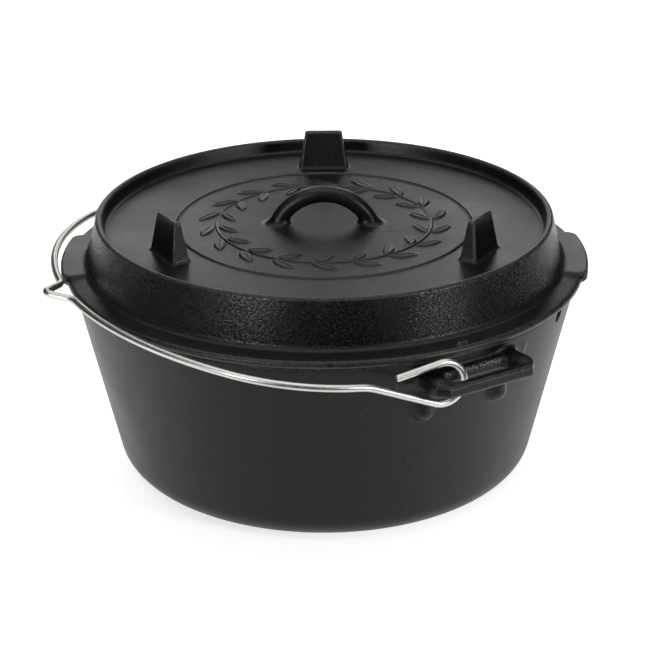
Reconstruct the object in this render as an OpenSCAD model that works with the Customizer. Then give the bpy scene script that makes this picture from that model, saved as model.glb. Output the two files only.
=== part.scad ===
// Camp dutch oven: a flat-bottomed cast pot with two loop ears, a cast lid that serves
// as a coal tray and, upside down, as a pan, and a bent wire bail. Sizes in millimetres.
// The origin is the middle of the pot's base, +Z is up and the ears lie along X.

/* [Pot] */
// Outer radius of the pot at its rim
pot_rim_r = 160; // [152:1:172]
// Radius that the sloping wall reaches at the base plane
pot_base_r = 130.5; // [124:0.5:136]
// Height of the pot from base to rim
pot_h = 128; // [112:1:150]
// Thickness of the pot wall
pot_wall = 4.5; // [3.5:0.25:6]
// Thickness of the pot floor
pot_floor = 5; // [4:0.5:8]
// Outer radius of the corner between base and wall
pot_corner_r = 20; // [14:1:26]
// Width of the notch in the rim that lets a thermometer lead pass under the lid
notch_w = 8; // [5:0.5:11]
// Depth of the notch below the rim
notch_d = 9.5; // [6:0.5:12]
// Angle of the notch from the first ear
notch_turn = 32; // [24:1:60]

/* [Ears] */
// Depth of the ears' middle plane, which holds the bail's hinge axis, below the rim
ear_drop = 11.5; // [9:0.5:16]
// Thickness of an ear
ear_t = 7.5; // [7:0.5:9.5]
// Distance from an ear's middle line to the middle of each arm
arm_y = 29; // [26:0.5:34]
// Width of each arm
arm_w = 10.5; // [9:0.5:12]
// Diameter of the round core of an arm, which a bail hook goes round
arm_d = 9.5; // [8:0.25:11]
// Width of an ear's outer bar
bar_w = 7; // [5:0.5:10]
// Clear width between the hooks and the outer bar
bar_gap = 5.7; // [5:0.1:8]
// Gap between the hooks' legs and the inner side of an ear's slot
slot_gap = 0.8; // [0.5:0.1:1.5]
// Radius of the flare where each side of an ear meets the wall
root_flare = 11; // [6:1:13]
// Diameter of the half-round gusset under each arm
gusset_d = 13; // [10:0.5:16]
// Length of the gussets below the ears' middle plane
gusset_l = 23.5; // [14:0.5:30]

/* [Lid] */
// Height of the tray's rim above the pot's rim
lid_h = 37; // [32:1:46]
// Height of the tray's floor above the pot's rim
tray_z = 28.8; // [24:0.4:31]
// Thickness of the lid's plate
lid_plate = 4.2; // [3.4:0.2:6]
// Thickness of the lid's sloping skirt
skirt_t = 5; // [4:0.25:6]
// Thickness of the tray's rim
tray_rim_t = 4.6; // [3.6:0.2:6]
// How far the flange reaches past the pot's rim
flange_over = 4; // [2:0.5:5]
// Width of the flange's top
flange_w = 14; // [12:0.5:16]
// Thickness of the flange at the foot of the skirt
flange_t = 7; // [5.5:0.5:8]
// How far the skirt leans in from its foot to the tray's rim
skirt_lean = 5.6; // [3:0.2:8]
// Depth of the lip that centres the lid in the pot
lip_depth = 6; // [4:0.5:9]
// Thickness of that lip
lip_t = 5; // [4:0.25:6]
// Gap between the lip and the pot's wall
lip_gap = 1.5; // [1:0.25:2.5]
// Gap between the lid's seat and the pot's rim
seat_gap = 0.2; // [0.1:0.05:0.3]
// Angle of the lid's grips from the ears as the lid rests
lid_turn = 58; // [40:1:90]
// How far a grip reaches past the flange
grip_over = 3; // [2:0.25:4]
// Half of the angle that a grip spans
grip_half = 13; // [10:0.5:16]
// Height of a grip's flat top above the flange's slope at its edge
grip_rise = 2.2; // [1:0.2:3]

/* [Lid handle and feet] */
// Distance between the handle's ends at the tray floor, bar middle to bar middle
handle_span = 59; // [52:1:68]
// Height of the handle's top above the tray floor
handle_h = 24.6; // [22:0.2:30]
// Diameter of the handle's bar
handle_d = 10.5; // [9:0.25:12]
// Height of the feet above the tray floor
foot_h = 24.8; // [22:0.2:30]
// Distance from the tray's rim in to the middle of a foot
foot_inset = 31; // [24:1:40]
// Width of a foot at the tray floor
foot_base_w = 32; // [28:0.5:36]
// Width of a foot at its top
foot_top_w = 24.5; // [20:0.5:27]
// Thickness of a foot at the tray floor
foot_base_t = 11.5; // [9:0.5:14]
// Thickness of a foot at its top
foot_top_t = 4.25; // [4:0.25:6]
// Diameter of the nub on the flange
nub_d = 5; // [3:0.5:6]

/* [Bail] */
// Diameter of the bail's wire
wire_d = 4.6; // [4:0.1:5.2]
// Gap between the hooks and the edge of the lid's flange
hook_gap = 0.7; // [0.5:0.1:1.5]
// Radius of a hook's round end, to the middle of the wire
hook_r = 13; // [12:0.25:14]
// How far a hook's round end hangs off the hinge axis, away from the arch
hook_off = 6; // [4:0.5:7]
// Length of a hook's free end
hook_end_l = 28; // [22:1:34]
// Slope of the free end towards the bail's plane
hook_end_slope = 17; // [8:1:18]
// Slope of the wire from the bail's plane down under the arm
dip_slope = 16; // [14:1:20]
// Radius of the bend where the wire leaves the bail's plane
dip_bend_r = 40; // [30:2:60]
// Distance from the lid's grips out to the arch
arch_gap = 4; // [3.5:0.25:10]
// How much flatter the arch is than its round shoulders
arch_flat = 28; // [18:1:34]
// Height of the grip kink above the arch
kink_h = 12.5; // [8:0.5:18]
// Slope of the kink's sides
kink_slope = 48; // [40:1:60]
// Bend radius at the kink's tip
kink_tip_r = 5; // [4:0.5:8]
// Bend radius where the kink leaves the arch
kink_foot_r = 9; // [6:0.5:12]
// Tilt of the folded bail above level
bail_rest = 7; // [7:0.5:14]

/* [Hidden] */
$fn = 96;
iron = "#232425";
steel = "#cfcdc8";

// How far joined shapes reach into each other, and cuts past a face
overlap = 1;

// Pot values that follow from the sizes above
pot_slope = (pot_rim_r - pot_base_r) / pot_h;
wall_run = pot_wall * sqrt(1 + pot_slope * pot_slope);
mouth_r = pot_rim_r - wall_run;
inner_corner_r = pot_corner_r - pot_wall;
ear_z = pot_h - ear_drop;
gusset_z = ear_z - gusset_l;
gusset_r = pot_base_r + pot_slope * gusset_z;

// Lid values, measured from the lid's seat
lid_z = pot_h + seat_gap;
lip_out_r = mouth_r - pot_slope * lip_depth - lip_gap;
flange_r = pot_rim_r + flange_over;
crease_r = flange_r - flange_w;
tray_rim_r = crease_r - skirt_lean;
tray_in_r = tray_rim_r - tray_rim_t;
flange_fall = 1;
flange_edge_t = flange_t - flange_fall;
flange_tilt = 5;
skirt_tilt = 8;
edge_round = 1.5;
flange_round = 2.4;
crease_round = 4;
tray_round = 2.5;
tray_fall = 1;
ceiling_z = tray_z - lid_plate;
pan_r = crease_r - skirt_t;
pan_round = 9;
pan_lean = skirt_lean * ceiling_z / lid_h;
grip_r = flange_r + grip_over;
grip_z = flange_edge_t + grip_rise;
grip_corner_r = 7;
nub_r = flange_r - flange_w / 3;
nub_turn = -2;
foot_r = tray_in_r - foot_inset;
foot_round = 1.8;
foot_count = 3;
grip_under = 1.5;

// Ear values that follow from the lid's flange, which the hooks have to clear
hook_s = flange_r + hook_gap + wire_d / 2;
bar_in_r = hook_s + wire_d / 2 + bar_gap;
bar_out_r = bar_in_r + bar_w;
arm_turn = asin(arm_y / hook_s);
hook_leg = hook_r - hook_off * sin(dip_slope);
slot_in_r = hook_s * cos(arm_turn) + hook_leg * sin(arm_turn) - wire_d / 2 - slot_gap;
slot_w = bar_in_r - slot_in_r;
slot_l = 2 * arm_y - arm_w;
slot_corner_r = 4;
ear_half = arm_y + arm_w / 2;
root_half = ear_half + root_flare;
root_r = pot_base_r + pot_slope * (ear_z - ear_t / 2);
root_x = sqrt(root_r * root_r - root_half * root_half);
root_start = mouth_r - wall_run;

// Handle arc through its two ends and its crown
handle_rise = handle_h - handle_d / 2;
handle_arc_r = (handle_rise * handle_rise + handle_span * handle_span / 4) / (2 * handle_rise);

// Every second stretch of the wire is a hair thinner and ends inside its neighbours
thin_d = wire_d - 0.06;
joint_sink = 0.4;

// Bail values: x runs along the hinge axis, y from the axis to the kink
dip_y = (hook_r + dip_bend_r * (1 - cos(dip_slope))) / sin(dip_slope);
dip_l = sqrt(dip_y * dip_y + dip_bend_r * dip_bend_r - pow(dip_bend_r + hook_r, 2));
arch_reach = grip_r + arch_gap;
shoulder_drop = arch_reach - dip_y + hook_off;
shoulder_r = shoulder_drop - arch_flat;
shoulder_x = hook_s - shoulder_r;
crown_r = (shoulder_x * shoulder_x + shoulder_drop * shoulder_drop - shoulder_r * shoulder_r)
        / (2 * arch_flat);
crown_turn = atan2(shoulder_x, crown_r - shoulder_drop);
kink_cos = (kink_tip_r + kink_foot_r + cos(kink_slope) * (crown_r + kink_h - kink_tip_r))
         / (crown_r + kink_foot_r);
kink_turn = acos(kink_cos);
kink_dx = (crown_r + kink_foot_r) * sin(kink_slope - kink_turn);
kink_dy = (crown_r + kink_foot_r) * cos(kink_slope - kink_turn) - (crown_r + kink_h - kink_tip_r);
kink_l = sqrt(kink_dx * kink_dx + kink_dy * kink_dy - pow(kink_tip_r + kink_foot_r, 2));

// Points of a round stretch about a centre
function arc(centre, r, from, to, steps = 8) =
    [for (i = [0 : steps]) centre + r * [cos(from + (to - from) * i / steps), sin(from + (to - from) * i / steps)]];

// Half section of a bowl with a sloping wall and a round corner at its floor
module bowl_section(wall_r, from_z, to_z, corner_r) {
    lean = sqrt(1 + pot_slope * pot_slope);
    corner_x = wall_r + pot_slope * (from_z + corner_r) - corner_r * lean;
    corner_z = from_z + corner_r;
    polygon([
        [0, from_z],
        [corner_x, from_z],
        [corner_x + corner_r / lean, corner_z - corner_r * pot_slope / lean],
        [wall_r + pot_slope * to_z, to_z],
        [0, to_z]
    ]);
    translate([corner_x, corner_z]) circle(corner_r);
}

// Plan of an ear: a plate that flares at the wall and narrows at its bar, with its slot
module ear_plan() {
    edge = concat(
        [[root_x - overlap, root_half]],
        arc([root_x + root_flare, root_half], root_flare, 180, 270),
        [[bar_in_r, ear_half], [bar_out_r, arm_y]]
    );
    last = len(edge) - 1;
    difference() {
        polygon(concat(edge, [for (i = [0 : last]) [edge[last - i][0], -edge[last - i][1]]]));
        translate([slot_in_r, -slot_l / 2 + slot_corner_r]) square([slot_w, slot_l - 2 * slot_corner_r]);
        translate([slot_in_r + slot_corner_r, -slot_l / 2]) square([slot_w - 2 * slot_corner_r, slot_l]);
        for (side = [-1, 1], x = [slot_in_r + slot_corner_r, bar_in_r - slot_corner_r])
            translate([x, side * (slot_l / 2 - slot_corner_r)]) circle(slot_corner_r);
    }
}

// One ear with its round arms and the gussets under them
module ear() {
    translate([0, 0, ear_z - ear_t / 2]) linear_extrude(ear_t) ear_plan();
    for (side = [-1, 1]) {
        rotate([0, 0, side * arm_turn]) {
            translate([root_start, 0, ear_z]) rotate([0, 90, 0])
                cylinder(d = arm_d, h = bar_in_r + bar_w / 2 - root_start);
            translate([gusset_r, 0, gusset_z]) cylinder(d = gusset_d, h = ear_z - gusset_z);
            translate([gusset_r, 0, gusset_z]) sphere(d = gusset_d);
        }
    }
}

module pot() {
    color(iron) difference() {
        union() {
            rotate_extrude() bowl_section(pot_base_r, 0, pot_h, pot_corner_r);
            ear();
            rotate([0, 0, 180]) ear();
        }
        rotate_extrude() bowl_section(pot_base_r - wall_run, pot_floor, pot_h + overlap, inner_corner_r);
        rotate([0, 0, notch_turn]) translate([0, 0, pot_h - notch_d + notch_w / 2]) {
            rotate([0, 90, 0]) cylinder(d = notch_w, h = pot_rim_r + pot_wall);
            translate([0, -notch_w / 2, 0]) cube([pot_rim_r + pot_wall, notch_w, notch_d]);
        }
    }
}

// Half section of the lid, from its underside out round the flange and over the tray's rim
module lid_section() {
    crest_r = tray_rim_t / 2;
    polygon(concat(
        [[0, ceiling_z]],
        arc([pan_r - pan_lean - pan_round, ceiling_z - pan_round], pan_round, 90, skirt_tilt),
        [[pan_r, 0], [lip_out_r - lip_t, -lip_depth], [lip_out_r - edge_round, -lip_depth]],
        arc([lip_out_r - edge_round, -lip_depth + edge_round], edge_round, -90, 0, 4),
        [[lip_out_r, 0], [pot_rim_r, 0]],
        arc([flange_r - flange_round, flange_fall + flange_round], flange_round, -60, 0, 4),
        arc([flange_r - flange_round, flange_edge_t - flange_round], flange_round, 0, 90 - flange_tilt, 5),
        arc([crease_r + crease_round, flange_t + crease_round], crease_round, 270 - flange_tilt, 180 + skirt_tilt, 6),
        arc([tray_rim_r - crest_r, lid_h - crest_r], crest_r, skirt_tilt, 180 - flange_tilt),
        arc([tray_in_r - tray_fall - tray_round, tray_z + tray_round], tray_round, 0, -90, 6),
        [[0, tray_z]]
    ));
}

// Plan of one grip: a sector with round outer corners
module grip_plan() {
    corner_turn = atan2(grip_corner_r, grip_r - grip_corner_r);
    wide = grip_half;
    narrow = grip_half - corner_turn;
    intersection() {
        circle(grip_r - grip_corner_r, $fn = 180);
        polygon([[0, 0], 2 * grip_r * [cos(wide), -sin(wide)], 2 * grip_r * [cos(wide), sin(wide)]]);
    }
    intersection() {
        circle(grip_r, $fn = 180);
        polygon([[0, 0], 2 * grip_r * [cos(narrow), -sin(narrow)], 2 * grip_r * [cos(narrow), sin(narrow)]]);
    }
    for (side = [-1, 1])
        rotate(side * narrow) translate([grip_r - grip_corner_r, 0]) circle(grip_corner_r);
}

// One grip: the thickened stretch of flange at a side of the lid
module grip() {
    difference() {
        translate([0, 0, grip_under]) linear_extrude(grip_z - grip_under) grip_plan();
        cylinder(r = crease_r + overlap, h = grip_z + overlap, $fn = 180);
    }
}

// Outline of a foot seen from one side, tapering to a rounded top
module foot_side(base, top) {
    base_x = base / 2;
    top_x = top / 2 - foot_round;
    polygon(concat(
        [[-base_x, -overlap], [base_x, -overlap], [base_x, 0]],
        arc([top_x, foot_h - foot_round], foot_round, 10, 90, 5),
        arc([-top_x, foot_h - foot_round], foot_round, 90, 170, 5),
        [[-base_x, 0]]
    ));
}

// One foot of the upturned lid, a tapered upright tab
module foot() {
    intersection() {
        rotate([90, 0, 90]) translate([0, 0, -foot_base_t]) linear_extrude(2 * foot_base_t)
            foot_side(foot_base_w, foot_top_w);
        rotate([90, 0, 0]) translate([0, 0, -foot_base_w]) linear_extrude(2 * foot_base_w)
            foot_side(foot_base_t, foot_top_t);
    }
}

// Arch handle in the middle of the tray
module handle() {
    reach = handle_arc_r + handle_d;
    intersection() {
        translate([0, 0, handle_rise - handle_arc_r]) rotate([90, 0, 0])
            rotate_extrude() translate([handle_arc_r, 0]) circle(d = handle_d);
        translate([-reach, -handle_d, -overlap]) cube([2 * reach, 2 * handle_d, handle_h + 2 * overlap]);
    }
}

module lid() {
    color(iron) translate([0, 0, lid_z]) rotate([0, 0, lid_turn]) {
        rotate_extrude($fn = 180) lid_section();
        grip();
        rotate([0, 0, 180]) grip();
        translate([0, 0, tray_z]) handle();
        for (i = [0 : foot_count - 1])
            rotate([0, 0, 90 + i * 360 / foot_count]) translate([foot_r, 0, tray_z]) foot();
        rotate([0, 0, nub_turn - lid_turn]) translate([nub_r, 0, flange_edge_t - nub_d / 4]) sphere(d = nub_d);
    }
}

// A straight run of wire along +X, then what follows it
module run(length, thin = false) {
    sink = thin ? joint_sink : 0;
    translate([-sink, 0, 0]) rotate([0, 90, 0])
        cylinder(d = thin ? thin_d : wire_d, h = length + 2 * sink, $fn = 32);
    translate([length, 0, 0]) children();
}

// A bend of the wire from +X towards +Y, then what follows it
module bend_left(radius, turn, thin = false) {
    sink = thin ? joint_sink / radius * 180 / PI : 0;
    translate([0, radius, 0]) rotate([0, 0, -90 - sink]) rotate_extrude(angle = turn + 2 * sink)
        translate([radius, 0]) circle(d = thin ? thin_d : wire_d, $fn = 32);
    translate([radius * sin(turn), radius * (1 - cos(turn)), 0]) rotate([0, 0, turn]) children();
}

// The same bend towards -Y
module bend_right(radius, turn, thin = false) {
    rotate([180, 0, 0]) bend_left(radius, turn, thin) rotate([180, 0, 0]) children();
}

// Half of the bail, from the end of the kink's tip bend to the free end of one hook
module bail_half() {
    run(kink_l, thin = true)
        bend_left(kink_foot_r, kink_turn)
        bend_right(crown_r, crown_turn - kink_slope + kink_turn, thin = true)
        bend_right(shoulder_r, 90 - crown_turn)
        rotate([-90, 0, 0])
        bend_left(dip_bend_r, dip_slope, thin = true)
        run(dip_l)
        bend_right(hook_r, 180 + dip_slope + hook_end_slope, thin = true)
        run(hook_end_l);
}

// The whole bail in its own plane, with the hinge axis along X
module bail_wire() {
    translate([0, arch_reach + kink_h - kink_tip_r, 0]) {
        rotate([0, 0, 90 - kink_slope]) rotate_extrude(angle = 2 * kink_slope)
            translate([kink_tip_r, 0]) circle(d = wire_d, $fn = 32);
        for (side = [0, 1])
            mirror([side, 0, 0]) rotate([0, 0, -kink_slope]) translate([0, kink_tip_r, 0]) bail_half();
    }
}

module bail() {
    color(steel) translate([0, 0, ear_z]) rotate([0, 0, 180 - arm_turn]) rotate([bail_rest, 0, 0])
        bail_wire();
}

pot();
lid();
bail();
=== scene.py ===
"""Looks of a camp dutch oven: cast pot, cast lid with a coal tray, and a bent wire bail.

Sizes are in millimetres and repeat the part's driving dimensions; meshes are written in metres.
The two castings are turned profiles. Their ears, grips, feet and handle are distance fields that melt into
the turned surface, as a foundry pattern's fillets do, and are meshed where they leave it.
"""

import math

import bpy
import numpy as np
from mathutils import Matrix, Quaternion, Vector


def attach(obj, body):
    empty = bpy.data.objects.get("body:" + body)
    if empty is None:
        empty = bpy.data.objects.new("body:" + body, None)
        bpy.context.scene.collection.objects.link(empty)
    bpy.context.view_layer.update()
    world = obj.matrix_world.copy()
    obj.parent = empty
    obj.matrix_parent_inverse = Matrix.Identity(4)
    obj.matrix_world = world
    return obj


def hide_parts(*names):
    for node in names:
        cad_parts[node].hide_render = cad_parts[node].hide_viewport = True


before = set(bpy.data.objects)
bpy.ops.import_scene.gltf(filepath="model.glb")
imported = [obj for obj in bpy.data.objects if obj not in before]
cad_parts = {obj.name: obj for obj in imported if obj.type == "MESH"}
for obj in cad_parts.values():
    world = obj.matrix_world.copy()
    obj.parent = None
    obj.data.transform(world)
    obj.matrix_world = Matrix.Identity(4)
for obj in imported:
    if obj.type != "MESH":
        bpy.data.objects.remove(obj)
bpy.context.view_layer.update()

MM = 0.001

# Pot
POT_RIM_R, POT_BASE_R, POT_H = 160.0, 130.5, 128.0
POT_WALL, POT_FLOOR, POT_CORNER_R = 4.5, 5.0, 20.0
NOTCH_W, NOTCH_D, NOTCH_TURN = 8.0, 9.5, 32.0
RIM_ROUND = 1.2
# How far the middles of the rim's roundings stand in from the wall's faces, as shares of their radius
RIM_OUT_IN, RIM_MOUTH_IN = 1.25, 0.8

# Ears
EAR_DROP, EAR_T = 11.5, 7.5
ARM_Y, ARM_W, ARM_D = 29.0, 10.5, 9.5
BAR_W, BAR_GAP, SLOT_GAP, ROOT_FLARE, ROOT_IN = 7.0, 5.7, 0.8, 11.0, 1.0
GUSSET_D, GUSSET_L = 13.0, 23.5
SLOT_CORNER_R, EAR_ROUND = 4.0, 2.2
ARM_FILLET, GUSSET_FILLET, WALL_FILLET = 5.0, 3.0, 4.0

# Lid, with heights measured from its seat
LID_H, TRAY_Z, LID_PLATE = 37.0, 28.8, 4.2
SKIRT_T, SKIRT_LEAN, TRAY_RIM_T = 5.0, 5.6, 4.6
FLANGE_OVER, FLANGE_W, FLANGE_T, FLANGE_FALL = 4.0, 14.0, 7.0, 1.0
LIP_DEPTH, LIP_T, LIP_GAP, SEAT_GAP = 6.0, 5.0, 1.5, 0.2
LIP_ROUND, EDGE_ROUND, FLANGE_ROUND, CREASE_ROUND, TRAY_ROUND, PAN_ROUND = 1.2, 1.5, 2.4, 4.0, 2.5, 9.0
SKIRT_TILT, FLANGE_TILT, TRAY_FALL = 8.0, 5.0, 1.0
LID_TURN = 58.0
GRIP_OVER, GRIP_HALF, GRIP_RISE, GRIP_UNDER, GRIP_CORNER_R = 3.0, 13.0, 2.2, 1.5, 7.0
GRIP_ROUND, GRIP_FILLET = 1.5, 2.5

# Handle, feet and casting nub; the nub is a little longer and lower than the part's plain dome
HANDLE_SPAN, HANDLE_H, HANDLE_D = 59.0, 24.6, 10.5
FOOT_H, FOOT_INSET = 24.8, 31.0
FOOT_BASE_W, FOOT_TOP_W, FOOT_BASE_T, FOOT_TOP_T = 32.0, 24.5, 11.5, 4.25
HANDLE_FILLET, FOOT_ROUND, FOOT_FILLET = 5.0, 1.3, 2.0
NUB_D, NUB_L, NUB_TURN, NUB_FILLET = 4.4, 4.0, -2.0, 1.5

# Cast ornament on the tray: a plain wreath of leaf pairs inside a ring
WREATH_R, WREATH_PAIRS, STEM_W = 68.0, 18, 2.0
LEAF_L, LEAF_W, LEAF_SPLAY, LEAF_OFF = 20.0, 7.5, 34.0, 6.5
RING_R, RING_W = 93.0, 2.2
VEIN_W, VEIN_DEPTH = 0.7, 0.6
RELIEF_H, RELIEF_SLOPE, RELIEF_STEP = 1.0, 1.0, 0.75
RELIEF_IN_R, RELIEF_OUT_R = 48.0, 96.0

# Bail
WIRE_D, HOOK_GAP, HOOK_R, HOOK_OFF, HOOK_END_L, HOOK_END_SLOPE = 4.6, 0.7, 13.0, 6.0, 28.0, 17.0
CHAMFER_SHARE = 0.2
DIP_SLOPE, DIP_BEND_R = 16.0, 40.0
ARCH_GAP, ARCH_FLAT = 4.0, 28.0
KINK_H, KINK_SLOPE, KINK_TIP_R, KINK_FOOT_R = 12.5, 48.0, 5.0, 9.0
BAIL_REST = 7.0

# Values that follow
POT_SLOPE = (POT_RIM_R - POT_BASE_R) / POT_H
POT_LEAN = math.hypot(1, POT_SLOPE)
POT_TILT = math.degrees(math.atan(POT_SLOPE))
WALL_RUN = POT_WALL * POT_LEAN
MOUTH_R = POT_RIM_R - WALL_RUN
EAR_Z = POT_H - EAR_DROP
LID_Z = POT_H + SEAT_GAP
FLANGE_R = POT_RIM_R + FLANGE_OVER
FLANGE_EDGE_T = FLANGE_T - FLANGE_FALL
CREASE_R = FLANGE_R - FLANGE_W
TRAY_RIM_R = CREASE_R - SKIRT_LEAN
TRAY_IN_R = TRAY_RIM_R - TRAY_RIM_T
GRIP_R = FLANGE_R + GRIP_OVER
NUB_R, NUB_Z = FLANGE_R - FLANGE_W / 3, FLANGE_EDGE_T - NUB_D / 8
FOOT_R = TRAY_IN_R - FOOT_INSET
HOOK_S = FLANGE_R + HOOK_GAP + WIRE_D / 2
BAR_IN_R = HOOK_S + WIRE_D / 2 + BAR_GAP
BAR_OUT_R = BAR_IN_R + BAR_W
ARM_TURN = math.degrees(math.asin(ARM_Y / HOOK_S))
HOOK_LEG = HOOK_R - HOOK_OFF * math.sin(math.radians(DIP_SLOPE))
SLOT_HALF, EAR_HALF = ARM_Y - ARM_W / 2, ARM_Y + ARM_W / 2
ROOT_HALF = EAR_HALF + ROOT_FLARE
ROOT_X = math.sqrt((POT_BASE_R + POT_SLOPE * (EAR_Z - EAR_T / 2)) ** 2 - ROOT_HALF**2)
SLOT_IN_R = math.sqrt(HOOK_S**2 - ARM_Y**2) + HOOK_LEG * ARM_Y / HOOK_S - WIRE_D / 2 - SLOT_GAP

# Meshing: each field's patch lies a skin's depth over the turned surface, inside a box in its own frame
SEGMENTS, LID_SEGMENTS, NOTCH_COLUMNS = 360, 720, 13
ROW_STEP, SHORT_ROW, NOTCH_SIDE = 4.0, 0.3, 0.02
BEND_TURN, BEND_RUN = 4, 5
SKIN = 0.03
# How deep a patch reaches into the wall or skirt that carries it, as a share of its thickness
WALL_SHARE, SKIRT_SHARE = 0.7, 0.6
CELL, NUB_CELL = 0.6, 0.3
SETTLE_ROUNDS, WELD_DIGITS = 6, 3
SHARP_ANGLE = 38.0
EAR_BOX = (142, -54, 80), (188, 54, 125.5)
GRIP_BOX = (120, -52, -0.4), (172, 52, 15)
FOOT_BOX = (FOOT_R - 13, -23, TRAY_Z - 2), (FOOT_R + 13, 23, LID_H + FOOT_H)
HANDLE_BOX = (-50, -16, TRAY_Z - 2), (50, 16, TRAY_Z + HANDLE_H + 3)
NUB_BOX = (FLANGE_R - 10, -8, 3), (FLANGE_R - 1.8, 8, 12)

# Tones of the castings and of the wire, fineness of their grain and marks (about so many to the metre), and
# how high the grain stands
IRON = (0.0035, 0.0035, 0.0036)
# The crease tone is partly dust and partly painted highlight in concave creases.
# The edge tone is partly wear and partly painted highlight on rounded edges.
# The slot tone is painted light on the inner face of each ear's slot.
# The speck tone is partly sand grain and partly painted glints.
SPECK_AND_GLINT, WORN_AND_HIGHLIGHT, DUST_AND_HIGHLIGHT, SLOT_LIGHT = (0.03, 0.029, 0.028), (0.06, 0.058, 0.056), (0.022, 0.021, 0.02), (0.3, 0.29, 0.28)
STEEL_DARK, STEEL_LIGHT, STEEL_RIM = (0.55, 0.54, 0.515), (0.74, 0.725, 0.695), (0.6, 0.58, 0.55)
FINE_GRAIN, COARSE_GRAIN, SPECKS_AND_GLINTS, SKIRT_GRIT, SLOT_LIGHT_GRAIN = 1150, 480, 620, 950, 900
MOTTLE, CLOUDS, SMEARS, DRAW_MARKS = 38, 9, 90, 700
IRON_BUMP, STEEL_BUMP = 0.2, 0.01

# Camera, as fitted to the photograph: sizes in millimetres, angles in degrees
CAMERA_TURN, CAMERA_FALL, CAMERA_ROLL = 58.0, 23.392, -0.351
CAMERA_SIDE, CAMERA_BACK, CAMERA_UP = -1.16, 1307.9, 653.7
CAMERA_LENS, CAMERA_SENSOR = 123.09, 36.0


def cosine(angle):
    return math.cos(math.radians(angle))


def sine(angle):
    return math.sin(math.radians(angle))


# Turned profiles


def arc(centre, radius, start, end, steps=8):
    """Points of a round stretch of a profile, with angles in degrees."""
    turns = np.radians(np.linspace(start, end, steps + 1))
    return [(centre[0] + radius * math.cos(t), centre[1] + radius * math.sin(t)) for t in turns]


def bowl_corner(wall_r, floor_z, radius, start, end):
    """The round corner between a floor and the sloping wall whose line meets the base plane at wall_r."""
    centre_r = wall_r + POT_SLOPE * (floor_z + radius) - radius * POT_LEAN
    return arc((centre_r, floor_z + radius), radius, start, end, 10)


def pot_profile(rim_z):
    """Half section of the pot, with its wall cut off at rim_z."""
    outer = POT_BASE_R + POT_SLOPE * rim_z
    inner = outer - WALL_RUN
    return [
        (0, 0),
        *bowl_corner(POT_BASE_R, 0, POT_CORNER_R, -90, -POT_TILT),
        *arc((outer - RIM_ROUND * RIM_OUT_IN, rim_z - RIM_ROUND), RIM_ROUND, -POT_TILT, 90, 4),
        *arc((inner + RIM_ROUND * RIM_MOUTH_IN, rim_z - RIM_ROUND), RIM_ROUND, 90, 180 - POT_TILT, 4),
        *bowl_corner(POT_BASE_R - WALL_RUN, POT_FLOOR, POT_CORNER_R - POT_WALL, -POT_TILT, -90),
        (0, POT_FLOOR),
    ]


def lid_profile():
    """Half section of the lid, from its underside out round the flange and over the tray's rim."""
    ceiling_z = TRAY_Z - LID_PLATE
    pan_r = CREASE_R - SKIRT_T
    pan_corner = pan_r - SKIRT_LEAN * ceiling_z / LID_H - PAN_ROUND
    lip_out_r = MOUTH_R - POT_SLOPE * LIP_DEPTH - LIP_GAP
    crest = TRAY_RIM_T / 2
    return [
        (0, ceiling_z),
        *arc((pan_corner, ceiling_z - PAN_ROUND), PAN_ROUND, 90, SKIRT_TILT, 8),
        (pan_r, 0),
        *arc((lip_out_r - LIP_T + LIP_ROUND, -LIP_DEPTH + LIP_ROUND), LIP_ROUND, 190, 270, 4),
        *arc((lip_out_r - EDGE_ROUND, -LIP_DEPTH + EDGE_ROUND), EDGE_ROUND, -90, 0, 4),
        (lip_out_r, 0),
        (POT_RIM_R, 0),
        *arc((FLANGE_R - FLANGE_ROUND, FLANGE_FALL + FLANGE_ROUND), FLANGE_ROUND, -60, 0, 6),
        *arc((FLANGE_R - FLANGE_ROUND, FLANGE_EDGE_T - FLANGE_ROUND), FLANGE_ROUND, 0, 90 - FLANGE_TILT, 8),
        *arc(
            (CREASE_R + CREASE_ROUND, FLANGE_T + CREASE_ROUND),
            CREASE_ROUND,
            270 - FLANGE_TILT,
            180 + SKIRT_TILT,
            10,
        ),
        *arc((TRAY_RIM_R - crest, LID_H - crest), crest, SKIRT_TILT, 175, 14),
        *arc((TRAY_IN_R - TRAY_FALL - TRAY_ROUND, TRAY_Z + TRAY_ROUND), TRAY_ROUND, 0, -90, 8),
        (0, TRAY_Z),
    ]


def row_counts(profile):
    """How many rows each stretch of a profile is cut into."""
    ends = np.array(profile)
    return [max(1, math.ceil(length / ROW_STEP)) for length in np.linalg.norm(np.diff(ends, axis=0), axis=1)]


def refined(profile, counts):
    """The same profile with its long stretches cut up."""
    fine = [profile[0]]
    for (r0, z0), (r1, z1), count in zip(profile, profile[1:], counts):
        fine += [(r0 + (r1 - r0) * k / count, z0 + (z1 - z0) * k / count) for k in range(1, count + 1)]
    return fine


def bends(profile):
    """Curvature along a profile, positive where an edge stands out."""
    ends = np.array(profile)
    before, after = ends[1:-1] - ends[:-2], ends[2:] - ends[1:-1]
    cross = before[:, 0] * after[:, 1] - before[:, 1] * after[:, 0]
    length = np.linalg.norm(before, axis=1) + np.linalg.norm(after, axis=1)
    return 2 * np.arctan2(cross, (before * after).sum(1)) / np.maximum(length, SHORT_ROW)


def turn(profiles, angles):
    """A closed turned shape: one profile for each angle, all with their ends on the axis."""
    columns, rows = len(angles), len(profiles[0]) - 2
    points = [(0, 0, profiles[0][0][1]), (0, 0, profiles[0][-1][1])]
    for profile, angle in zip(profiles, angles):
        points += [(r * cosine(angle), r * sine(angle), z) for r, z in profile[1:-1]]
    faces = []
    for i in range(columns):
        here, there = 2 + i * rows, 2 + (i + 1) % columns * rows
        faces.append((0, there, here))
        faces += [(here + k, there + k, there + k + 1, here + k + 1) for k in range(rows - 1)]
        faces.append((1, here + rows - 1, there + rows - 1))
    return np.array(points), faces, np.concatenate([[0, 0], *map(bends, profiles)])


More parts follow.
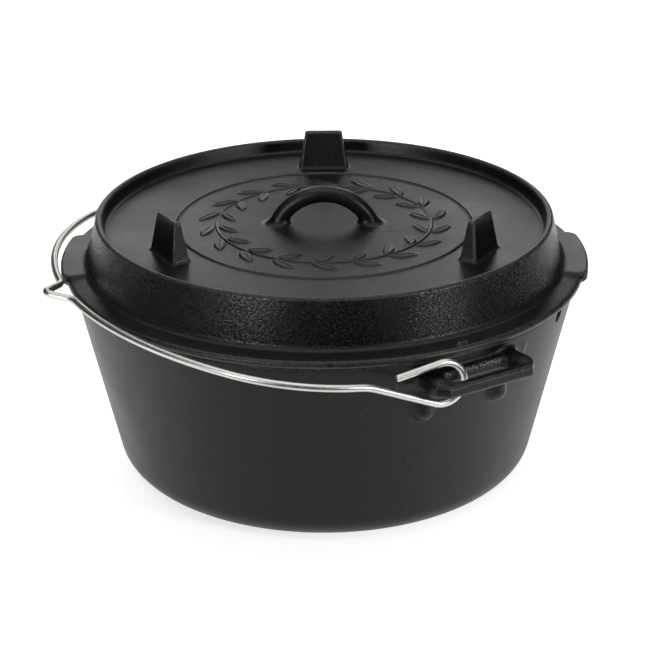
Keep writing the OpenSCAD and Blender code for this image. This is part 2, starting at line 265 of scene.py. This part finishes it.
def pot_body():
    """The pot without its ears. The rim dips where the notch crosses it."""
    half = NOTCH_W / 2
    across = half * np.sin(np.radians(np.linspace(-90, 90, NOTCH_COLUMNS)))
    columns = []
    for s in across:
        columns.append((NOTCH_TURN + math.degrees(s / POT_RIM_R), NOTCH_D - half + math.sqrt(half**2 - s**2)))
    clear = math.degrees((half + NOTCH_SIDE) / POT_RIM_R)
    columns += [(NOTCH_TURN - clear, 0), (NOTCH_TURN + clear, 0)]
    for angle in np.arange(SEGMENTS) * 360 / SEGMENTS:
        if abs(angle - NOTCH_TURN) > clear:
            columns.append((angle, 0))
    columns.sort()
    counts = row_counts(pot_profile(POT_H))
    profiles = [refined(pot_profile(POT_H - drop), counts) for _, drop in columns]
    return turn(profiles, [angle for angle, _ in columns])


def relief(radius, angle):
    """Height of the ornament over the tray at a radius and an angle."""
    pitch = 360 / WREATH_PAIRS
    along = WREATH_R * np.radians(angle % pitch - pitch / 2)
    across = np.abs(radius - WREATH_R) - LEAF_OFF
    u = along * cosine(LEAF_SPLAY) + across * sine(LEAF_SPLAY)
    v = across * cosine(LEAF_SPLAY) - along * sine(LEAF_SPLAY)
    leaf = np.abs(v) - LEAF_W / 2 * (1 - (2 * u / LEAF_L) ** 2)
    leaf = np.where(np.abs(u) < LEAF_L / 2, leaf, LEAF_L)
    lines = np.minimum(np.abs(radius - WREATH_R) - STEM_W / 2, np.abs(radius - RING_R) - RING_W / 2)
    height = np.clip(-np.minimum(leaf, lines) / RELIEF_SLOPE, 0, 1)
    vein = np.exp(-((v / VEIN_W) ** 2)) * (leaf < 0) * (lines > 0)
    return RELIEF_H * height * height * (3 - 2 * height) * (1 - VEIN_DEPTH * vein)


def lid_body():
    """The lid without its grips, feet, handle and nub."""
    outline = lid_profile()
    outline = refined(outline, row_counts(outline)[:-1])
    radii = np.arange(RELIEF_OUT_R, RELIEF_IN_R, -RELIEF_STEP)
    angles = np.arange(LID_SEGMENTS) * 360 / LID_SEGMENTS
    profiles = []
    for angle in angles:
        heights = TRAY_Z + relief(radii, angle)
        profiles.append(outline + list(zip(radii, heights)) + [(0, TRAY_Z)])
    return turn(profiles, angles)


# Distance fields, negative inside


def outline_distance(x, y, points):
    """Signed distance in a plane to a closed outline."""
    nearest = np.full(x.shape, np.inf)
    inside = np.zeros(x.shape, bool)
    for (ax, ay), (bx, by) in zip(points, points[1:] + points[:1]):
        ex, ey, wx, wy = bx - ax, by - ay, x - ax, y - ay
        along = np.clip((wx * ex + wy * ey) / max(ex * ex + ey * ey, 1e-12), 0, 1)
        nearest = np.minimum(nearest, (wx - along * ex) ** 2 + (wy - along * ey) ** 2)
        inside ^= ((ay <= y) != (by <= y)) & ((ex * wy - ey * wx > 0) == (by > ay))
    return np.where(inside, -1, 1) * np.sqrt(nearest)


def rounded(distances, radius):
    """The meeting of half spaces, with its edges rounded."""
    moved = [d + radius for d in distances]
    outside = np.sqrt(sum(np.maximum(d, 0) ** 2 for d in moved))
    return outside + np.minimum(np.max(moved, axis=0), 0) - radius


def capsule(x, y, z, start, end, radius):
    """A round bar with round ends."""
    (ax, ay, az), (ex, ey, ez) = start, np.subtract(end, start)
    wx, wy, wz = x - ax, y - ay, z - az
    along = np.clip((wx * ex + wy * ey + wz * ez) / (ex * ex + ey * ey + ez * ez), 0, 1)
    return np.sqrt((wx - along * ex) ** 2 + (wy - along * ey) ** 2 + (wz - along * ez) ** 2) - radius


def melt(a, b, radius):
    """The union of two shapes with a fillet."""
    near = np.clip(1 - np.abs(a - b) / radius, 0, 1)
    return np.minimum(a, b) - near * near * radius / 4


def ear_field(x, y, z):
    """The ear at +X with the skin of the wall round it."""
    root = MOUTH_R - WALL_RUN
    flare = arc((ROOT_X + ROOT_FLARE, ROOT_HALF), ROOT_FLARE, 180, 270)
    side = [(ROOT_X - ROOT_IN, ROOT_HALF), *flare, (BAR_IN_R, EAR_HALF), (BAR_OUT_R, ARM_Y)]
    plan = outline_distance(x, y, [(r, -s) for r, s in side] + side[::-1])
    slot = rounded([x - BAR_IN_R, SLOT_IN_R - x, np.abs(y) - SLOT_HALF], SLOT_CORNER_R)
    plate = rounded([np.maximum(plan, -slot), np.abs(z - EAR_Z) - EAR_T / 2], EAR_ROUND)
    gusset_z = EAR_Z - GUSSET_L
    gusset_r = POT_BASE_R + POT_SLOPE * gusset_z
    tip = BAR_IN_R + BAR_W / 2 - ARM_D / 2
    shape = plate
    for way in (-ARM_TURN, ARM_TURN):
        c, s = cosine(way), sine(way)
        start, end = (root * c, root * s, EAR_Z), (tip * c, tip * s, EAR_Z)
        shape = melt(shape, capsule(x, y, z, start, end, ARM_D / 2), ARM_FILLET)
        foot, head = (gusset_r * c, gusset_r * s, gusset_z), (gusset_r * c, gusset_r * s, EAR_Z)
        shape = melt(shape, capsule(x, y, z, foot, head, GUSSET_D / 2), GUSSET_FILLET)
    wall = (np.hypot(x, y) - POT_BASE_R - POT_SLOPE * z) / POT_LEAN
    return np.maximum(melt(shape, wall - SKIN, WALL_FILLET), -(wall + POT_WALL * WALL_SHARE))


def grip_field(x, y, z):
    """The grip at +X with the skin of the flange and the skirt's foot round it."""
    radius = np.hypot(x, y)
    sides = np.abs(y) * cosine(GRIP_HALF) - x * sine(GRIP_HALF)
    plan = rounded([radius - GRIP_R, sides], GRIP_CORNER_R)
    top = FLANGE_EDGE_T + GRIP_RISE
    middle, half_t = (top + GRIP_UNDER) / 2, (top - GRIP_UNDER) / 2
    plate = rounded([plan, np.abs(z - middle) - half_t], GRIP_ROUND)
    turned = outline_distance(radius, z, lid_profile())
    inner = CREASE_R - SKIRT_T * SKIRT_SHARE - radius
    return np.maximum(melt(plate, turned - SKIN, GRIP_FILLET), inner)


def foot_field(x, y, z):
    """One foot, its broad faces across X, with the skin of the tray round it."""
    height = z - TRAY_Z
    lean_t = (FOOT_BASE_T - FOOT_TOP_T) / 2 / FOOT_H
    lean_w = (FOOT_BASE_W - FOOT_TOP_W) / 2 / FOOT_H
    broad = (np.abs(x - FOOT_R) - FOOT_BASE_T / 2 + lean_t * height) / math.hypot(1, lean_t)
    ends = (np.abs(y) - FOOT_BASE_W / 2 + lean_w * height) / math.hypot(1, lean_w)
    block = rounded([broad, ends, height - FOOT_H], FOOT_ROUND)
    return melt(block, height - SKIN, FOOT_FILLET)


def handle_field(x, y, z):
    """The arch handle along X with the skin of the tray round it."""
    height = z - TRAY_Z
    rise = HANDLE_H - HANDLE_D / 2
    bow = (rise**2 + HANDLE_SPAN**2 / 4) / (2 * rise)
    bar = np.hypot(np.hypot(x, height - rise + bow) - bow, y) - HANDLE_D / 2
    return melt(bar, height - SKIN, HANDLE_FILLET)


def nub_field(x, y, z):
    """The small casting nub on the flange at +X with the skin of the flange round it."""
    bump = capsule(x, y, z, (NUB_R, -NUB_L / 2, NUB_Z), (NUB_R, NUB_L / 2, NUB_Z), NUB_D / 2)
    turned = outline_distance(np.hypot(x, y), z, lid_profile())
    return melt(bump, turned - SKIN, NUB_FILLET)


# Meshing of distance fields


def net(field, box, cell=CELL):
    """Points, faces and curvatures of a distance field's zero surface in a box, whose faces close it."""
    low, high = box

    def closed(x, y, z):
        walls = [low[0] - x, x - high[0], low[1] - y, y - high[1], low[2] - z, z - high[2]]
        return np.maximum(field(x, y, z), np.max(walls, axis=0))

    axes = [np.arange(a - 2 * cell, b + 3 * cell, cell) for a, b in zip(low, high)]
    inside = closed(*np.meshgrid(*axes, indexing="ij")) < 0
    filled = np.zeros(np.array(inside.shape) - 1, int)
    for corner in np.ndindex(2, 2, 2):
        filled += inside[tuple(slice(c, c + n) for c, n in zip(corner, filled.shape))]
    crossed = (filled > 0) & (filled < 8)
    number = np.full(filled.shape, -1)
    number[crossed] = np.arange(crossed.sum())
    points = np.argwhere(crossed) * cell + np.array([axis[0] for axis in axes]) + cell / 2
    quads = []
    for axis in range(3):
        _, u, v = np.roll(np.eye(3, dtype=int), -axis, axis=0)
        ahead = np.roll(inside, -1, axis=axis)
        for found, order in ((inside & ~ahead, 1), (~inside & ahead, -1)):
            g = np.argwhere(found)
            ring = [number[tuple((g - k).T)] for k in (u + v, v, 0 * u, u)]
            quads += np.stack(ring, axis=1)[:, ::order].tolist()
    points, faces = welded(settle(points, closed, cell), quads)
    return points, faces, curvature(points, field)


def settle(points, field, limit):
    """Moves points along a field's slope on to its zero surface."""
    reach = 0.02
    for _ in range(SETTLE_ROUNDS):
        value = field(*points.T)
        rises = [field(*(points + w).T) - field(*(points - w).T) for w in reach * np.eye(3)]
        slope = np.stack(rises, axis=1) / (2 * reach)
        push = value / np.maximum((slope**2).sum(1), 0.1)
        points = points - np.clip(push, -limit, limit)[:, None] * slope
    return points


def welded(points, faces):
    """Joins points that fell together and drops the faces that lost their area."""
    _, first, where = np.unique(np.round(points, WELD_DIGITS), axis=0, return_index=True, return_inverse=True)
    where = where.ravel().tolist()
    kept = []
    for face in faces:
        corners = [where[k] for k in face]
        corners = [a for a, b in zip(corners, corners[1:] + corners[:1]) if a != b]
        if len(corners) > 2 and len(set(corners)) == len(corners):
            kept.append(corners)
    return points[first], kept


def curvature(points, field):
    """Curvature of a field's surface at its points, positive where an edge stands out."""
    reach = 0.5
    around = sum(field(*(points + w).T) + field(*(points - w).T) for w in reach * np.eye(3))
    return (around - 6 * field(*points.T)) / reach**2


def spun(mesh, angle, lift=0.0):
    """A mesh turned about the axis and lifted."""
    points, faces, edges = mesh
    c, s = cosine(angle), sine(angle)
    x, y, z = points.T
    return np.stack([c * x - s * y, s * x + c * y, z + lift], axis=1), faces, edges


# Bail


def trace(x, y, heading, moves):
    """Points of a plane path of straight runs (length) and bends (radius, turn), left bends positive."""
    path = [(x, y)]
    for move in moves:
        if isinstance(move, tuple):
            radius, angle = move
            side = math.copysign(90, angle)
            cx, cy = x + radius * cosine(heading + side), y + radius * sine(heading + side)
            run = abs(math.radians(angle)) * radius
            steps = max(3, round(abs(angle) / BEND_TURN), round(run / BEND_RUN))
            path += arc((cx, cy), radius, heading - side, heading - side + angle, steps)[1:]
            heading += angle
        else:
            path.append((x + move * cosine(heading), y + move * sine(heading)))
        x, y = path[-1]
    return path


def bail_path():
    """The wire's middle line in the row frame, from one free end to the other."""
    dip_y = (HOOK_R + DIP_BEND_R * (1 - cosine(DIP_SLOPE))) / sine(DIP_SLOPE)
    dip_l = math.sqrt(dip_y**2 + DIP_BEND_R**2 - (DIP_BEND_R + HOOK_R) ** 2)
    hook_y = dip_y - HOOK_OFF
    reach = GRIP_R + ARCH_GAP
    drop = reach - hook_y
    shoulder_r = drop - ARCH_FLAT
    shoulder_x = HOOK_S - shoulder_r
    crown_r = (shoulder_x**2 + drop**2 - shoulder_r**2) / (2 * ARCH_FLAT)
    crown_turn = math.degrees(math.atan2(shoulder_x, crown_r - drop))
    tip_z = crown_r + KINK_H - KINK_TIP_R
    kink_cos = (KINK_TIP_R + KINK_FOOT_R + cosine(KINK_SLOPE) * tip_z) / (crown_r + KINK_FOOT_R)
    kink_turn = math.degrees(math.acos(kink_cos))
    kink_dx = (crown_r + KINK_FOOT_R) * sine(KINK_SLOPE - kink_turn)
    kink_dy = (crown_r + KINK_FOOT_R) * cosine(KINK_SLOPE - kink_turn) - tip_z
    kink_l = math.sqrt(kink_dx**2 + kink_dy**2 - (KINK_TIP_R + KINK_FOOT_R) ** 2)
    crown = crown_turn - KINK_SLOPE + kink_turn
    kink_moves = [(KINK_TIP_R, -KINK_SLOPE), kink_l, (KINK_FOOT_R, kink_turn)]
    arch_moves = [(crown_r, -crown), (shoulder_r, crown_turn - 90)]
    arch = trace(0, reach + KINK_H, 0, kink_moves + arch_moves)
    hook_moves = [(DIP_BEND_R, DIP_SLOPE), dip_l, (HOOK_R, -180 - DIP_SLOPE - HOOK_END_SLOPE), HOOK_END_L]
    hook = trace(hook_y, 0, 180, hook_moves)
    half = [(x, y, 0) for x, y in arch] + [(HOOK_S, y, z) for y, z in hook[1:]]
    line = np.array([(-x, y, z) for x, y, z in half[:0:-1]] + half)
    tilt = Matrix.Rotation(math.radians(BAIL_REST), 3, "X")
    swing = Matrix.Rotation(math.radians(180 - ARM_TURN), 3, "Z")
    return line @ np.array(swing @ tilt).T + (0, 0, EAR_Z)


def wire(path, radius, sides=20):
    """A tube along a path with chamfered ends."""
    ahead = np.gradient(path, axis=0)
    ahead /= np.linalg.norm(ahead, axis=1)[:, None]
    chamfer = CHAMFER_SHARE * radius
    second, last_but_one = path[:1] + chamfer * ahead[:1], path[-1:] - chamfer * ahead[-1:]
    path = np.concatenate([path[:1], second, path[1:-1], last_but_one, path[-1:]])
    ahead = np.concatenate([ahead[:1], ahead, ahead[-1:]])
    radii = np.full(len(path), radius)
    radii[[0, -1]] -= chamfer
    across = np.array(Vector(ahead[0]).orthogonal().normalized())
    points = []
    for place, way, size in zip(path, ahead, radii):
        across = across - way * (across @ way)
        across /= np.linalg.norm(across)
        beside = np.cross(way, across)
        turns = np.linspace(0, 2 * math.pi, sides, endpoint=False)
        points.append(place + size * (np.outer(np.cos(turns), across) + np.outer(np.sin(turns), beside)))
    last = (len(path) - 1) * sides
    faces = [tuple(range(sides))[::-1], tuple(range(last, last + sides))]
    for ring in range(len(path) - 1):
        for k in range(sides):
            a, b = ring * sides + k, ring * sides + (k + 1) % sides
            faces.append((a, b, b + sides, a + sides))
    return np.concatenate(points), faces, np.zeros(len(path) * sides)


# Objects


def piece(name, parts, body, material):
    """One mesh object of several closed parts, riding on a body and standing for its CAD node."""
    points, faces, edges = [], [], []
    for part_points, part_faces, part_edges in parts:
        start = sum(map(len, points))
        points.append(part_points)
        edges.append(part_edges)
        faces += [tuple(start + k for k in face) for face in part_faces]
    mesh = bpy.data.meshes.new(name)
    mesh.from_pydata((np.concatenate(points) * MM).tolist(), [], faces)
    mesh.validate()
    mesh.polygons.foreach_set("use_smooth", [True] * len(mesh.polygons))
    mesh.set_sharp_from_angle(angle=math.radians(SHARP_ANGLE))
    mesh.attributes.new("edge", "FLOAT", "POINT").data.foreach_set("value", np.concatenate(edges))
    mesh.materials.append(material)
    obj = bpy.data.objects.new(name, mesh)
    bpy.context.scene.collection.objects.link(obj)
    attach(obj, body)
    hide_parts(body)


# Materials


def new_material(name):
    material = bpy.data.materials.new(name)
    material.use_nodes = True
    return material, material.node_tree, material.node_tree.nodes["Principled BSDF"]


def noise(tree, coords, scale, detail=3.0, rough=0.5):
    made = tree.nodes.new("ShaderNodeTexNoise")
    made.inputs["Scale"].default_value = scale
    made.inputs["Detail"].default_value = detail
    made.inputs["Roughness"].default_value = rough
    tree.links.new(coords, made.inputs["Vector"])
    return made.outputs["Fac"]


def ramp(tree, value, low, high, to_low, to_high):
    made = tree.nodes.new("ShaderNodeMapRange")
    for key, number in {"From Min": low, "From Max": high, "To Min": to_low, "To Max": to_high}.items():
        made.inputs[key].default_value = number
    tree.links.new(value, made.inputs["Value"])
    return made.outputs["Result"]


def maths(tree, operation, a, b):
    made = tree.nodes.new("ShaderNodeMath")
    made.operation = operation
    for socket, value in zip(made.inputs, (a, b)):
        if isinstance(value, (int, float)):
            socket.default_value = value
        else:
            tree.links.new(value, socket)
    return made.outputs["Value"]


def mixed(tree, share, low, high):
    """A colour between two others."""
    made = tree.nodes.new("ShaderNodeMix")
    made.data_type = "RGBA"
    tree.links.new(share, made.inputs[0])
    for socket, value in ((made.inputs[6], low), (made.inputs[7], high)):
        if isinstance(value, tuple):
            socket.default_value = (*value, 1)
        else:
            tree.links.new(value, socket)
    return made.outputs[2]


def painted_slot_light(tree, coords, place):
    """Share of painted light, in grainy specks, along the inner edge of an ear's slot."""
    out, across = (maths(tree, "ABSOLUTE", place.outputs[axis], 0) for axis in "XY")
    ear_top = EAR_Z + EAR_T / 2
    share = ramp(tree, noise(tree, coords, SLOT_LIGHT_GRAIN, 2), 0.5, 0.7, 0, 0.8)
    for value, none, full in (
        (out, SLOT_IN_R - 2.2, SLOT_IN_R - 1),
        (out, SLOT_IN_R + 1, SLOT_IN_R + 0.3),
        (across, SLOT_HALF, SLOT_HALF - ARM_W / 2),
        (place.outputs["Z"], EAR_Z, ear_top - 2),
        (place.outputs["Z"], ear_top + 1, ear_top + 0.5),
    ):
        share = maths(tree, "MULTIPLY", share, ramp(tree, value, none * MM, full * MM, 0, 1))
    return share


def skirt_share(tree, coords, place):
    """One on the lid's skirt, which has the coarsest grain, and nought elsewhere."""
    flat = tree.nodes.new("ShaderNodeVectorMath")
    flat.operation = "MULTIPLY"
    flat.inputs[1].default_value = (1, 1, 0)
    tree.links.new(coords, flat.inputs[0])
    length = tree.nodes.new("ShaderNodeVectorMath")
    length.operation = "LENGTH"
    tree.links.new(flat.outputs["Vector"], length.inputs[0])
    outside = ramp(tree, length.outputs["Value"], (TRAY_RIM_R - 3) * MM, TRAY_RIM_R * MM, 0, 1)
    foot_z = LID_Z + FLANGE_T
    above = ramp(tree, place.outputs["Z"], (foot_z + 1) * MM, (foot_z + 4) * MM, 0, 1)
    return maths(tree, "MULTIPLY", outside, above)


def cast_iron(name, shine, grain, skirt_grain):
    """Seasoned cast iron: near-black, satin, with sand grain, light specks that are partly painted glints,
    soft mottle, edges lighter by wear and painted highlight, creases lighter by dust and painted highlight,
    and painted light in the ears' slots.
    """
    material, tree, shader = new_material(name)
    coords = tree.nodes.new("ShaderNodeTexCoord").outputs["Object"]
    attribute = tree.nodes.new("ShaderNodeAttribute")
    attribute.attribute_name = "edge"
    edge = attribute.outputs["Fac"]
    fine = noise(tree, coords, FINE_GRAIN, 2)
    coarse = noise(tree, coords, COARSE_GRAIN, 2)
    mottle = noise(tree, coords, MOTTLE, 4)
    cloud = noise(tree, coords, CLOUDS, 3)
    place = tree.nodes.new("ShaderNodeSeparateXYZ")
    tree.links.new(coords, place.inputs["Vector"])
    skirt = skirt_share(tree, coords, place)

    # Convex edges: partly wear, partly painted highlight where rounded edges would catch the light.
    wear_and_highlight = maths(tree, "MULTIPLY", ramp(tree, edge, 0.16, 0.6, 0, 1), ramp(tree, coarse, 0.35, 0.6, 0.2, 1))
    # Concave creases: partly dust, partly painted highlight for the light lines along creases and fillets.
    dust_and_highlight = maths(tree, "MULTIPLY", ramp(tree, edge, -0.12, -0.3, 0, 1), ramp(tree, coarse, 0.4, 0.65, 0.2, 1))
    dark, light = (tuple(share * t for t in IRON) for share in (0.7, 1.35))
    iron = mixed(tree, ramp(tree, mottle, 0.3, 0.75, 0, 1), dark, light)
    # Light specks in the colour: partly sand grain, partly painted glints standing in for sparkle off the
    # grain.
    speck_and_glint = ramp(tree, noise(tree, coords, SPECKS_AND_GLINTS, 2), 0.52, 0.75, 0, 0.35)
    iron = mixed(tree, speck_and_glint, iron, SPECK_AND_GLINT)
    # Lighter convex edges: wear and painted edge highlight.
    iron = mixed(tree, maths(tree, "MULTIPLY", wear_and_highlight, 0.8), iron, WORN_AND_HIGHLIGHT)
    # Lighter creases: dust and painted crease highlight.
    iron = mixed(tree, maths(tree, "MULTIPLY", dust_and_highlight, 0.5), iron, DUST_AND_HIGHLIGHT)
    # Painted light: a light grainy patch on the inner face of each ear's slot.
    iron = mixed(tree, painted_slot_light(tree, coords, place), iron, SLOT_LIGHT)
    tree.links.new(iron, shader.inputs["Base Color"])

    satin = maths(tree, "ADD", ramp(tree, mottle, 0.3, 0.7, 0.35, 0.41), ramp(tree, cloud, 0.3, 0.7, 0, 0.05))
    satin = maths(tree, "SUBTRACT", satin, maths(tree, "MULTIPLY", wear_and_highlight, 0.05))
    satin = maths(tree, "SUBTRACT", satin, maths(tree, "MULTIPLY", skirt, 0.12))
    tree.links.new(satin, shader.inputs["Roughness"])
    shader.inputs["Specular IOR Level"].default_value = shine

    strength = ramp(tree, skirt, 0, 1, grain, skirt_grain)
    grit = ramp(tree, noise(tree, coords, SKIRT_GRIT, 1), 0.53, 0.7, 0, 2.5)
    plain = maths(tree, "ADD", maths(tree, "MULTIPLY", fine, 0.6), maths(tree, "MULTIPLY", coarse, 0.9))
    height = maths(tree, "ADD", plain, maths(tree, "MULTIPLY", grit, skirt))
    bump = tree.nodes.new("ShaderNodeBump")
    bump.inputs["Distance"].default_value = IRON_BUMP * MM
    tree.links.new(strength, bump.inputs["Strength"])
    tree.links.new(height, bump.inputs["Height"])
    tree.links.new(bump.outputs["Normal"], shader.inputs["Normal"])
    return material


def drawn_steel(name):
    """Bright stainless wire with faint draw marks and smears."""
    material, tree, shader = new_material(name)
    coords = tree.nodes.new("ShaderNodeTexCoord").outputs["Object"]
    smear = noise(tree, coords, SMEARS, 3)
    marks = noise(tree, coords, DRAW_MARKS, 2)
    shader.inputs["Metallic"].default_value = 1.0
    colours = tree.nodes.new("ShaderNodeValToRGB")
    colours.color_ramp.elements[0].color = (*STEEL_DARK, 1)
    colours.color_ramp.elements[1].color = (*STEEL_LIGHT, 1)
    tree.links.new(smear, colours.inputs["Fac"])
    tree.links.new(colours.outputs["Color"], shader.inputs["Base Color"])
    tree.links.new(ramp(tree, marks, 0.3, 0.7, 0.3, 0.4), shader.inputs["Roughness"])
    shader.inputs["Specular Tint"].default_value = (*STEEL_RIM, 1)
    bump = tree.nodes.new("ShaderNodeBump")
    bump.inputs["Distance"].default_value = STEEL_BUMP * MM
    bump.inputs["Strength"].default_value = 0.4
    tree.links.new(marks, bump.inputs["Height"])
    tree.links.new(bump.outputs["Normal"], shader.inputs["Normal"])
    return material


# Stage


def in_row(side, back, up):
    """A point given from the camera's side of the object, in metres in the row frame."""
    turned = Matrix.Rotation(math.radians(CAMERA_TURN), 3, "Z")
    return turned @ Vector((side, -back, up)) * MM


def floor():
    mesh = bpy.data.meshes.new("floor")
    half = 6.0
    corners = [(-half, -half, 0), (half, -half, 0), (half, half, 0), (-half, half, 0)]
    mesh.from_pydata(corners, [], [(0, 1, 2, 3)])
    material, tree, shader = new_material("floor_white")
    coords = tree.nodes.new("ShaderNodeTexCoord").outputs["Object"]
    tree.links.new(ramp(tree, noise(tree, coords, 3), 0, 1, 0.85, 0.95), shader.inputs["Roughness"])
    shader.inputs["Base Color"].default_value = (0.9, 0.9, 0.9, 1)
    shader.inputs["Specular IOR Level"].default_value = 0.0
    shader.inputs["Emission Color"].default_value = (1, 1, 1, 1)
    shader.inputs["Emission Strength"].default_value = 0.75
    mesh.materials.append(material)
    obj = bpy.data.objects.new("floor", mesh)
    bpy.context.scene.collection.objects.link(obj)


def softbox(name, place, target, size, power):
    light = bpy.data.lights.new(name, "AREA")
    light.shape = "RECTANGLE"
    light.size, light.size_y = size[0] * MM, size[1] * MM
    light.energy = power
    obj = bpy.data.objects.new(name, light)
    obj.location = in_row(*place)
    aim = in_row(*target) - obj.location
    obj.rotation_euler = aim.to_track_quat("-Z", "Y").to_euler()
    obj.visible_camera = False
    bpy.context.scene.collection.objects.link(obj)


def dark_card(name, corners):
    """A matte black card out of the frame, for the castings to mirror."""
    mesh = bpy.data.meshes.new(name)
    mesh.from_pydata([in_row(*corner) for corner in corners], [], [(0, 1, 2, 3)])
    material, _, shader = new_material(name)
    shader.inputs["Base Color"].default_value = (0.01, 0.01, 0.01, 1)
    shader.inputs["Specular IOR Level"].default_value = 0.0
    mesh.materials.append(material)
    obj = bpy.data.objects.new(name, mesh)
    obj.visible_camera = False
    bpy.context.scene.collection.objects.link(obj)


def studio():
    floor()
    dark_card("front_card", [(-330, 370, 5), (330, 370, 5), (330, 370, 185), (-330, 370, 185)])
    for side in (-680, 680):
        dark_card("side_card", [(side, -420, 15), (side, 420, 15), (side, 420, 330), (side, -420, 330)])
    middle = (0, 0, 100)
    softbox("top_box", place=(0, 100, 1900), target=(0, 99, 0), size=(2600, 2600), power=27)
    for side in (-340, 340):
        softbox("back_box", place=(side, -1900, 800), target=middle, size=(360, 1300), power=3.9)
    softbox("front_left", place=(-1010, 1500, 620), target=middle, size=(500, 600), power=13)
    softbox("front_right", place=(1420, 1110, 620), target=middle, size=(500, 600), power=13)
    world = bpy.data.worlds.new("studio")
    world.use_nodes = True
    world.node_tree.nodes["Background"].inputs["Color"].default_value = (0.02, 0.02, 0.02, 1)
    bpy.context.scene.world = world
    bpy.context.scene.view_settings.view_transform = "Standard"


def camera():
    data = bpy.data.cameras.new("camera")
    data.lens, data.sensor_width = CAMERA_LENS, CAMERA_SENSOR
    obj = bpy.data.objects.new("camera", data)
    obj.location = in_row(CAMERA_SIDE, CAMERA_BACK, CAMERA_UP)
    look = in_row(0, -cosine(CAMERA_FALL), -sine(CAMERA_FALL))
    obj.rotation_mode = "QUATERNION"
    roll = Quaternion((0, 0, 1), math.radians(CAMERA_ROLL))
    obj.rotation_quaternion = look.to_track_quat("-Z", "Y") @ roll
    bpy.context.scene.collection.objects.link(obj)
    bpy.context.scene.camera = obj


def build_pot():
    ear = net(ear_field, EAR_BOX)
    parts = [pot_body(), ear, spun(ear, 180)]
    iron = cast_iron("pot_iron", shine=0.25, grain=0.4, skirt_grain=0.4)
    piece("pot_casting", parts, "pot", iron)


def build_lid():
    grip = net(grip_field, GRIP_BOX)
    foot = net(foot_field, FOOT_BOX)
    parts = [lid_body(), grip, spun(grip, 180)]
    parts += [spun(foot, angle) for angle in (90, 210, 330)]
    parts.append(net(handle_field, HANDLE_BOX))
    parts.append(spun(net(nub_field, NUB_BOX, NUB_CELL), NUB_TURN - LID_TURN))
    parts = [spun(part, LID_TURN, LID_Z) for part in parts]
    iron = cast_iron("lid_iron", shine=0.3, grain=0.7, skirt_grain=1.0)
    piece("lid_casting", parts, "lid", iron)


def build_bail():
    piece("bail_wire", [wire(bail_path(), WIRE_D / 2)], "bail", drawn_steel("bail_wire"))


build_pot()
build_lid()
build_bail()
studio()
camera()
